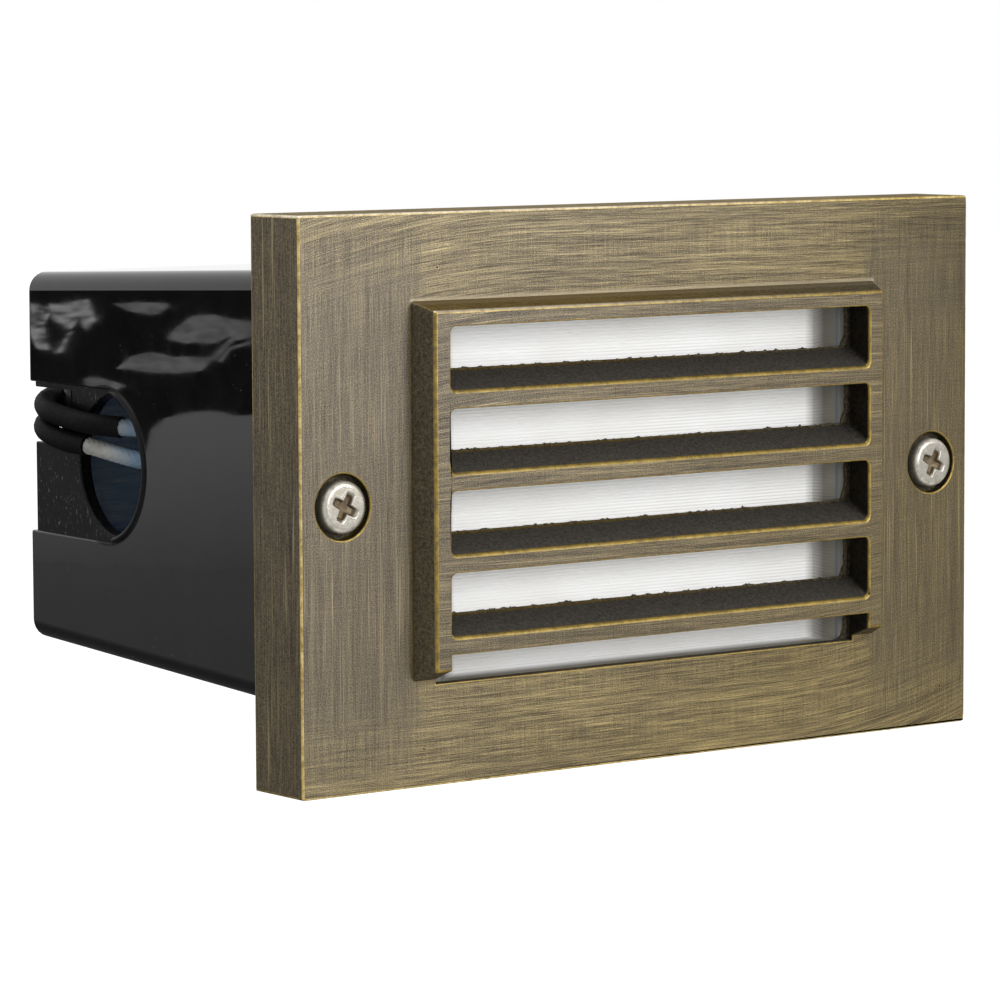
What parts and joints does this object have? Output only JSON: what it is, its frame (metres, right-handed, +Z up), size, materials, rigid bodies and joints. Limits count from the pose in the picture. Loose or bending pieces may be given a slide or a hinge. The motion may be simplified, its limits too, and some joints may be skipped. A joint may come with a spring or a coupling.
{
  "type": "recessed step light",
  "caption": "Recessed wall step light: cast louvred plate with dished lens, screwed to a tapered box with reflector, lamp, side wire entry and coiled supply leads.",
  "frame": {"origin": "middle of the opening in the wall, in the plane of the wall's face, which is the plane of the skirt's back rim", "axes": "+Y into the wall along the box, +Z up, +X to the right of someone who looks at the louvres"},
  "size_m": [0.127, 0.1203, 0.083],
  "materials": {
    "aged_brass": "antique brass patina, brushed, rubbed bright on the edges",
    "pressed_glass": "pressed and ribbed, frosted white",
    "grey_silicone": "soft matt",
    "sheet_aluminium": "mill",
    "steel_fastener": "zinc plated",
    "black_rubber": "matt foam rubber",
    "worn_screw": "antique plated, worn",
    "black_moulding": "glossy moulded",
    "bright_brass": "machined",
    "white_enamel": "white enamel on sheet aluminium",
    "zinc_sheet": "zinc plated sheet",
    "ceramic": "unglazed ceramic",
    "clear_glass": "clear",
    "nickel_wire": "bright",
    "tungsten": "dull",
    "natural_nylon": "natural nylon",
    "white_braid": "glass fibre braid",
    "black_sleeve": "soft sleeving, satin",
    "black_nylon": "nylon",
    "orange_plastic": "moulded"
  },
  "bodies": {
    "box": {"housing": "black_moulding", "threaded_inserts": "bright_brass", "reflector": "white_enamel", "reflector_screws": "steel_fastener", "socket_bracket": "zinc_sheet", "bracket_rivets": "sheet_aluminium", "lamp_socket": "ceramic", "socket_contacts": "bright_brass", "socket_screws": "steel_fastener", "socket_nuts": "steel_fastener", "lead_bushing": "black_rubber", "lead_tie": "natural_nylon", "upper_inner_lead": "white_braid", "lower_inner_lead": "white_braid", "upper_lead": "black_sleeve", "lower_lead": "black_sleeve", "upper_lead_coil": "black_sleeve", "lower_lead_coil": "black_sleeve", "coil_tie": "black_nylon", "wire_connectors": "orange_plastic"},
    "plate": {"faceplate": "aged_brass", "lens": "pressed_glass", "lens_gasket": "grey_silicone", "lens_retainer": "sheet_aluminium", "retainer_screws": "steel_fastener", "plate_gasket": "black_rubber"},
    "left_screw": {"left_face_screw": "worn_screw"},
    "right_screw": {"right_face_screw": "worn_screw"},
    "lamp": {"lamp_capsule": "clear_glass", "lamp_pins": "nickel_wire", "lamp_filament": "tungsten"}
  },
  "joints": [
    {"name": "plate_pull", "type": "slide", "parent": "box", "child": "plate", "axis": [0, -1, 0], "range_m": [0, 0.04]},
    {"name": "left_screw_turn", "type": "hinge", "parent": "plate", "child": "left_screw", "pos_m": [-0.05615, -0.012, 0], "axis": [0, 1, 0], "continuous": true},
    {"name": "right_screw_turn", "type": "hinge", "parent": "plate", "child": "right_screw", "pos_m": [0.05615, -0.012, 0], "axis": [0, 1, 0], "continuous": true},
    {"name": "lamp_pull", "type": "slide", "parent": "box", "child": "lamp", "axis": [-1, 0, 0], "range_m": [0, 0.01]}
  ]
}
